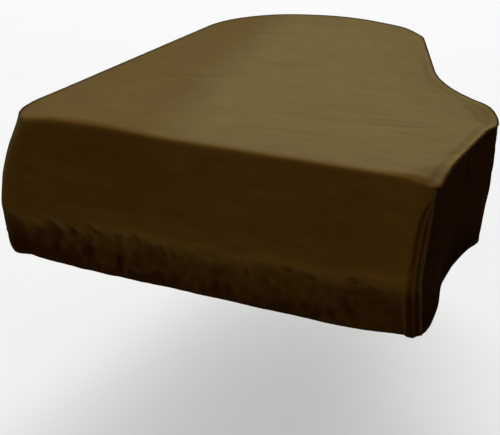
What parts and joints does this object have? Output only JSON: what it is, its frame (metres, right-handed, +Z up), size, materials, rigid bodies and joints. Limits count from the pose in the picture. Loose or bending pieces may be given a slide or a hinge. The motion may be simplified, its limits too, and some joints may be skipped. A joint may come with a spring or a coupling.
{
  "type": "grand piano cover",
  "caption": "Fitted cloth cover for a closed grand piano: harp-shaped top, long front apron and a shorter skirt round the sides and tail, with piping in the seam.",
  "frame": {"origin": "on the underside of the top panel, in the middle of its length and width, where the cover lies on the closed lid", "axes": "+X to the right side, where the bent side is, +Y from the front to the tail, +Z up"},
  "size_m": [1.5064, 1.9168, 0.4984],
  "materials": {
    "cover_cloth": "soft twill with a faint sheen",
    "skirt_cloth": "soft twill with a faint sheen",
    "piping_cloth": "bias-cut twill over cord"
  },
  "bodies": {
    "root": {"top_and_front": "cover_cloth", "side_skirt": "skirt_cloth", "piping": "piping_cloth"}
  },
  "joints": []
}
